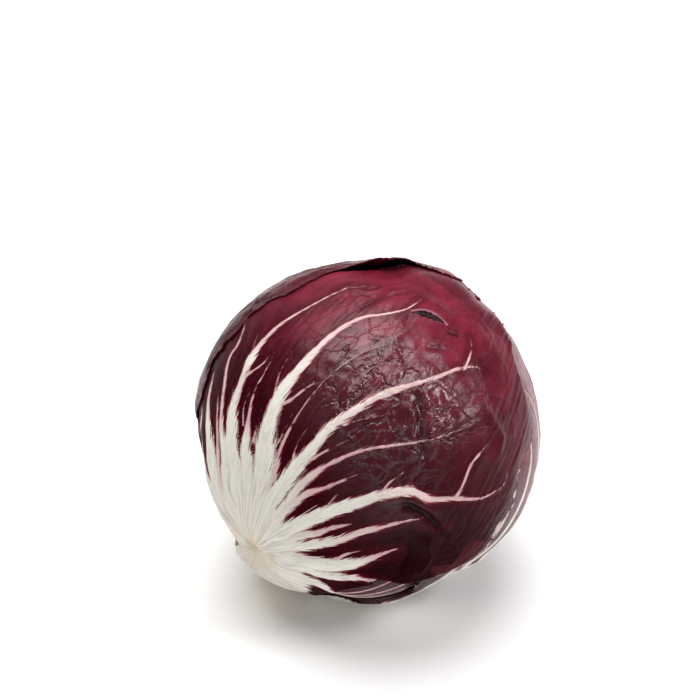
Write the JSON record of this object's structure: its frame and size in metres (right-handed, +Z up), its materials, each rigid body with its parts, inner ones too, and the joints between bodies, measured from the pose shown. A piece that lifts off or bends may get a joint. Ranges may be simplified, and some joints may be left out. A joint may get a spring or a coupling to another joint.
{
  "type": "radicchio head",
  "caption": "Round red radicchio head of tightly wrapped veined leaves with white ribs, lying on its side with its cut stem low.",
  "frame": {"origin": "the middle of the small flat spot that the head rests on, straight below the middle of the head", "axes": "+Z up; the cut stem points to -X, towards -Y and down, so the front leaf shows from -Y and above"},
  "size_m": [0.1149, 0.1146, 0.1096],
  "materials": {
    "stem": "cream cut stem, slightly browned",
    "heart_leaf": "dark red-purple packed leaves",
    "inner_leaf": "dark red-purple leaf",
    "outer_leaf": "glossy red-purple leaf with white ribs"
  },
  "bodies": {
    "root": {"stem": "stem", "heart_leaves": "heart_leaf", "leaf_inner": "inner_leaf", "leaf_lower": "outer_leaf", "leaf_left": "outer_leaf", "leaf_right": "outer_leaf", "leaf_front": "outer_leaf", "leaf_back": "outer_leaf"}
  },
  "joints": []
}
